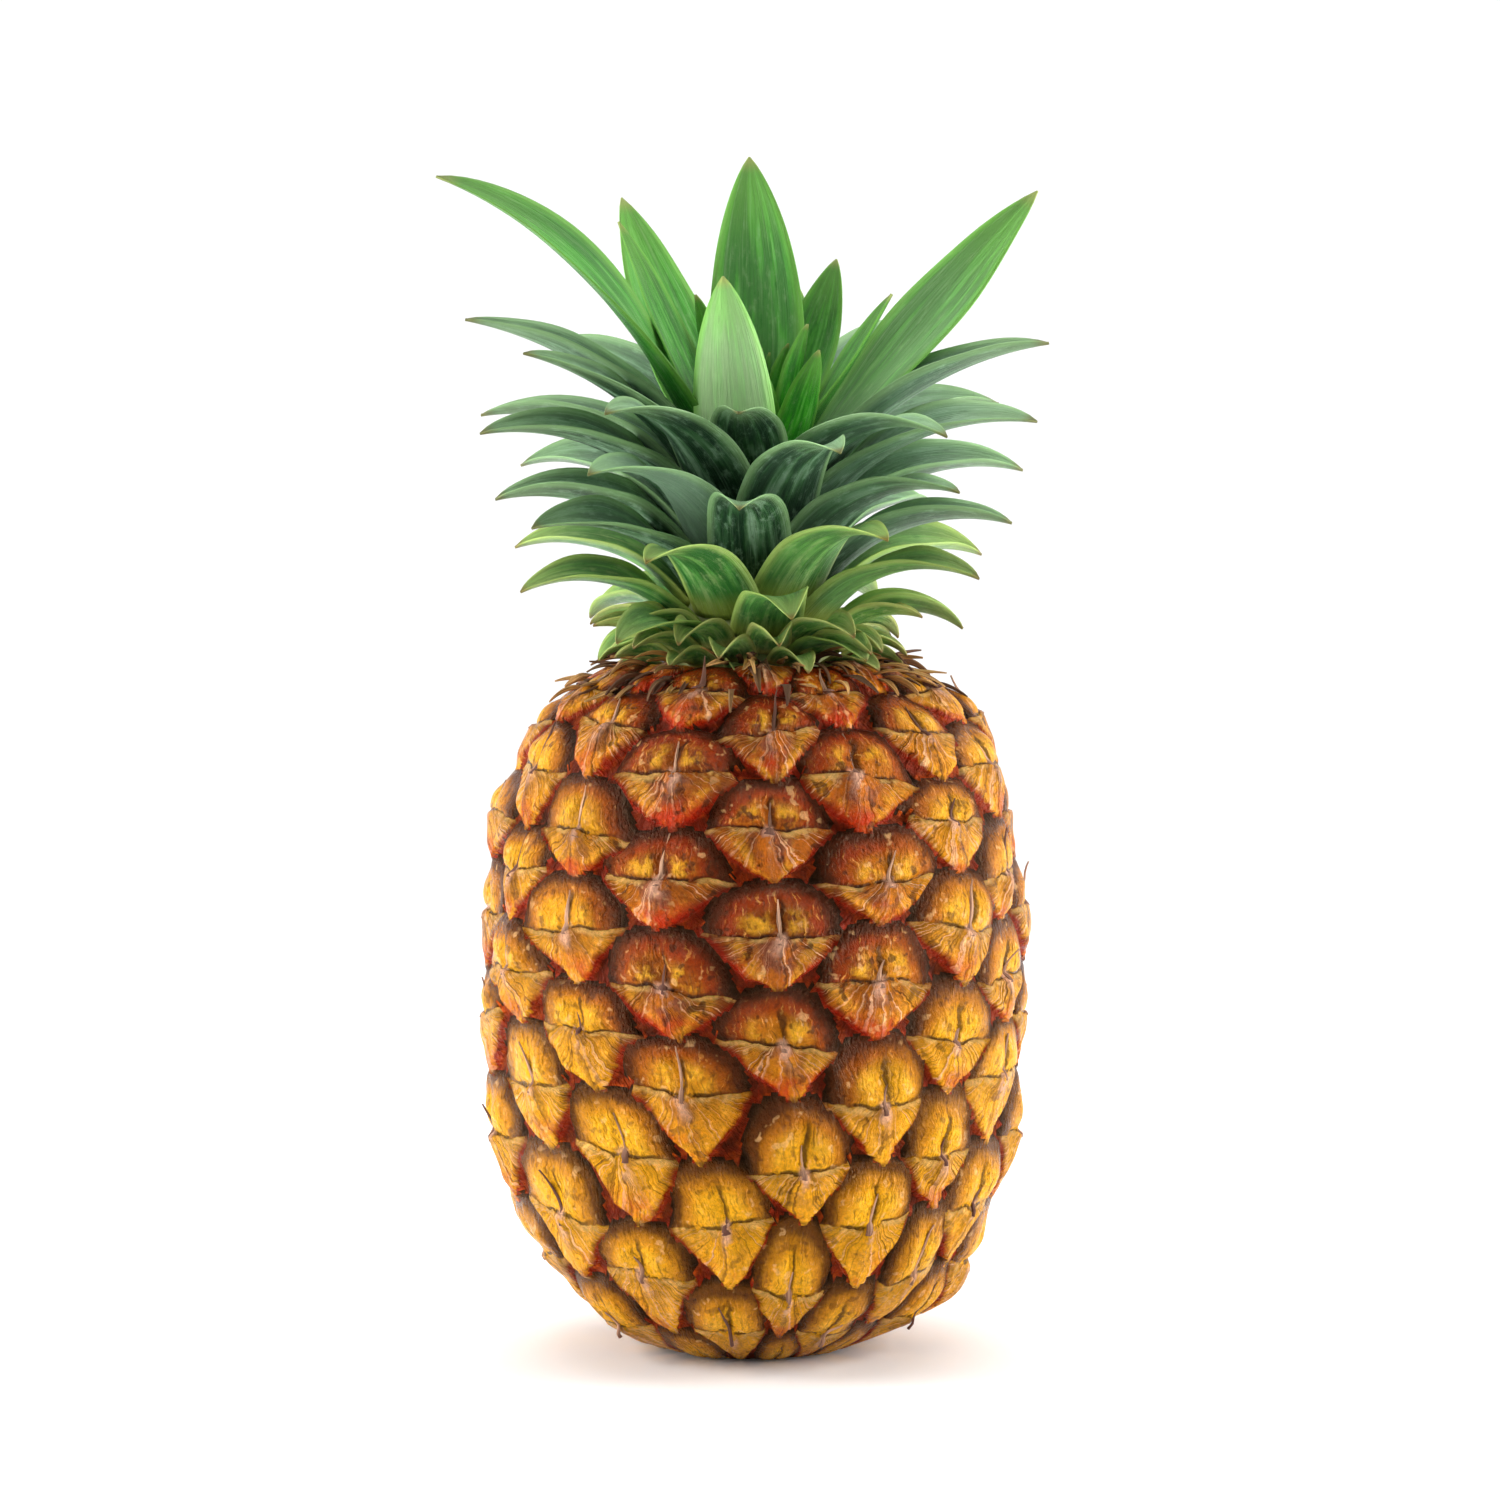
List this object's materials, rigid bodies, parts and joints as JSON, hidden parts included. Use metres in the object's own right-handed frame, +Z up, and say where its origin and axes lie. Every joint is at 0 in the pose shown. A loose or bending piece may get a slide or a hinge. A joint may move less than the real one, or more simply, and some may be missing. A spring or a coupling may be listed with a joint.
{
  "type": "pineapple",
  "caption": "Whole ripe pineapple with golden orange eyes and a full crown of green leaves, standing upright on its cut base.",
  "frame": {"origin": "centre of the flat cut base, where the fruit rests", "axes": "+Z up along the fruit and through its crown, -Y towards the side that faces the viewer, +X to the viewer's right"},
  "size_m": [0.1433, 0.1329, 0.2767],
  "materials": {
    "rind": "waxy, satin",
    "stalk_cut": "dry, matte",
    "crown_stem": "matte",
    "outer_leaf": "satin",
    "middle_leaf": "satin",
    "heart_leaf": "satin"
  },
  "bodies": {
    "root": {"crown_stem": "crown_stem", "cut_stem": "stalk_cut", "fruit": "rind", "heart_leaf_01": "heart_leaf", "heart_leaf_02": "heart_leaf", "heart_leaf_03": "heart_leaf", "heart_leaf_04": "heart_leaf", "heart_leaf_05": "heart_leaf", "heart_leaf_06": "heart_leaf", "heart_leaf_07": "heart_leaf", "heart_leaf_08": "heart_leaf", "heart_leaf_09": "heart_leaf", "heart_leaf_10": "heart_leaf", "heart_leaf_11": "heart_leaf", "heart_leaf_12": "heart_leaf", "heart_leaf_13": "heart_leaf", "heart_leaf_14": "heart_leaf", "middle_leaf_01": "middle_leaf", "middle_leaf_02": "middle_leaf", "middle_leaf_03": "middle_leaf", "middle_leaf_04": "middle_leaf", "middle_leaf_05": "middle_leaf", "middle_leaf_06": "middle_leaf", "middle_leaf_07": "middle_leaf", "middle_leaf_08": "middle_leaf", "middle_leaf_09": "middle_leaf", "middle_leaf_10": "middle_leaf", "middle_leaf_11": "middle_leaf", "middle_leaf_12": "middle_leaf", "middle_leaf_13": "middle_leaf", "middle_leaf_14": "middle_leaf", "middle_leaf_15": "middle_leaf", "middle_leaf_16": "middle_leaf", "middle_leaf_17": "middle_leaf", "middle_leaf_18": "middle_leaf", "middle_leaf_19": "middle_leaf", "middle_leaf_20": "middle_leaf", "middle_leaf_21": "middle_leaf", "middle_leaf_22": "middle_leaf", "middle_leaf_23": "middle_leaf", "middle_leaf_24": "middle_leaf", "middle_leaf_25": "middle_leaf", "middle_leaf_26": "middle_leaf", "middle_leaf_27": "middle_leaf", "middle_leaf_28": "middle_leaf", "outer_leaf_01": "outer_leaf", "outer_leaf_02": "outer_leaf", "outer_leaf_03": "outer_leaf", "outer_leaf_04": "outer_leaf", "outer_leaf_05": "outer_leaf", "outer_leaf_06": "outer_leaf", "outer_leaf_07": "outer_leaf", "outer_leaf_08": "outer_leaf", "outer_leaf_09": "outer_leaf", "outer_leaf_10": "outer_leaf", "outer_leaf_11": "outer_leaf", "outer_leaf_12": "outer_leaf", "outer_leaf_13": "outer_leaf", "outer_leaf_14": "outer_leaf", "outer_leaf_15": "outer_leaf"}
  },
  "joints": []
}
